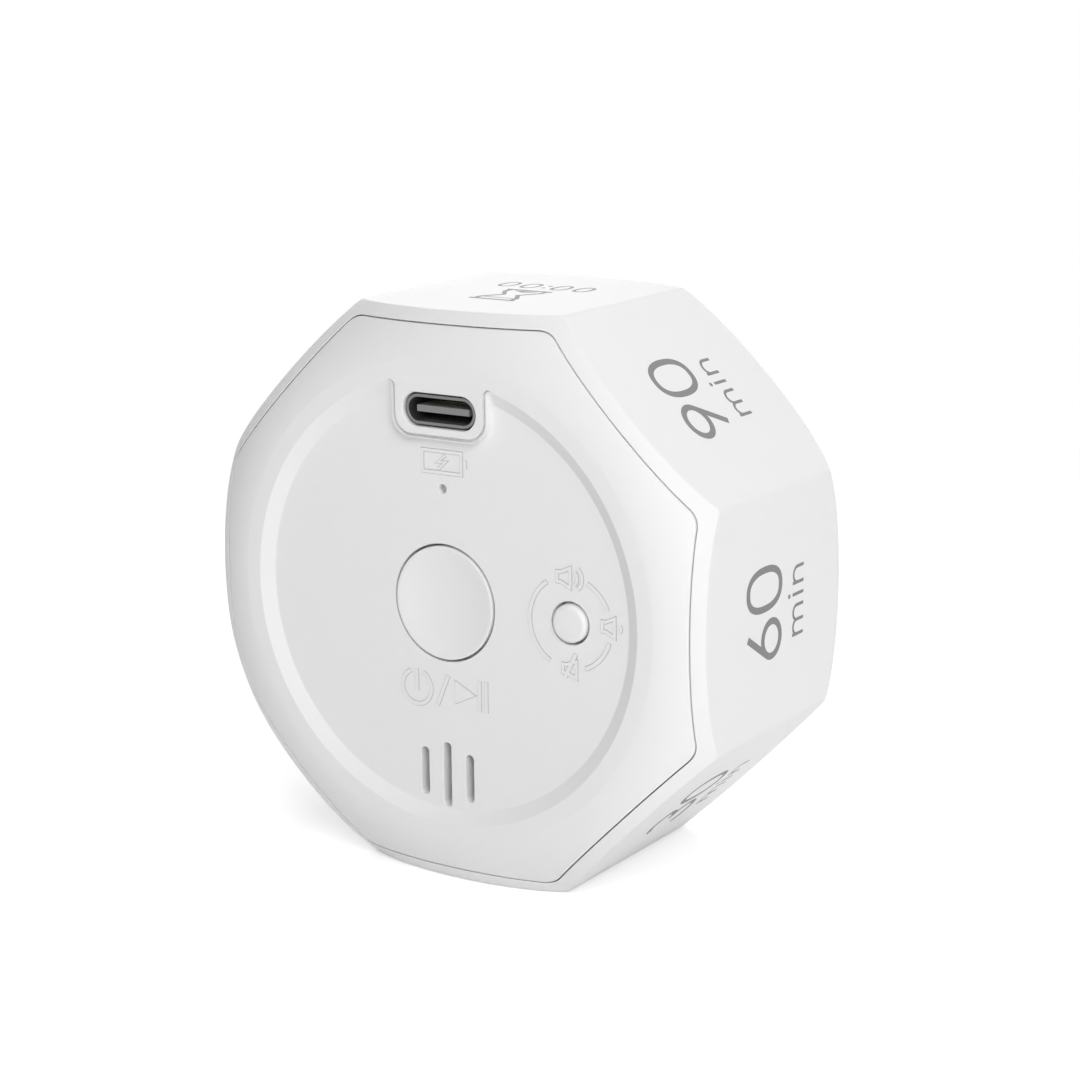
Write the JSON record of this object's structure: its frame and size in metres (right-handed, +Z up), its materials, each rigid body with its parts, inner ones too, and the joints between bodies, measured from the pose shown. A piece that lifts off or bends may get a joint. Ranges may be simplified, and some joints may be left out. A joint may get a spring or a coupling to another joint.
{
  "type": "flip timer",
  "caption": "Octagonal desk timer that is set by standing it on another facet, with a domed back, a round display window, a power button, a volume button and a charging port.",
  "frame": {"origin": "middle of the bottom facet, on the surface that the timer stands on", "axes": "+Z up, +Y out of the back with the buttons and the port, -Y out of the display"},
  "size_m": [0.0628, 0.0338, 0.0627],
  "materials": {
    "white_plastic": "satin moulded plastic",
    "smoked_window": "polished",
    "foam": "matt",
    "display_body": "matt",
    "segment_fill": "translucent",
    "light_chip": "clear cap",
    "circuit_board": "solder mask",
    "chip": "moulded",
    "screw_steel": "zinc plated",
    "connector": "moulded",
    "ribbon": "film",
    "port_steel": "nickel plated",
    "port_plastic": "moulded",
    "gold": "gold plated",
    "switch_plastic": "moulded",
    "spring_steel": "bright",
    "clear_plastic": "polished",
    "speaker_black": "matt",
    "cell_foil": "foil pouch",
    "red_insulation": "satin",
    "black_insulation": "satin",
    "passive": "ceramic"
  },
  "bodies": {
    "timer_body": {"housing": "white_plastic", "back_cover": "white_plastic", "display_lens": "smoked_window", "lens_adhesive": "foam", "battery_tape": "foam", "speaker_gasket": "foam", "display_reflector": "display_body", "display_segments": "segment_fill", "segment_leds": "light_chip", "charge_led": "light_chip", "display_board": "circuit_board", "main_board": "circuit_board", "display_driver": "chip", "motion_sensor": "chip", "controller_chip": "chip", "charger_chip": "chip", "display_screws": "screw_steel", "main_screws": "screw_steel", "display_socket": "connector", "main_socket": "connector", "battery_plug": "connector", "battery_socket": "connector", "ribbon_cable": "ribbon", "usb_shell": "port_steel", "usb_tongue": "port_plastic", "usb_contacts": "gold", "speaker_leads": "gold", "power_switch_base": "switch_plastic", "volume_switch_base": "switch_plastic", "power_switch_dome": "spring_steel", "power_switch_cover": "spring_steel", "volume_switch_dome": "spring_steel", "volume_switch_cover": "spring_steel", "speaker_magnet": "spring_steel", "light_pipe": "clear_plastic", "speaker_frame": "speaker_black", "speaker_cone": "speaker_black", "battery_cell": "cell_foil", "battery_lead_red": "red_insulation", "battery_lead_black": "black_insulation", "passives": "passive"},
    "power_key": {"power_button": "white_plastic", "power_switch_plunger": "connector"},
    "volume_key": {"volume_button": "white_plastic", "volume_switch_plunger": "connector"}
  },
  "joints": [
    {"name": "power_press", "type": "slide", "parent": "timer_body", "child": "power_key", "axis": [0, -1, 0], "range_m": [0, 0.0006], "stiffness_N_per_m": 3000, "deforming": ["power_switch_dome"]},
    {"name": "volume_press", "type": "slide", "parent": "timer_body", "child": "volume_key", "axis": [0, -1, 0], "range_m": [0, 0.0005], "stiffness_N_per_m": 2500, "deforming": ["volume_switch_dome"]}
  ]
}
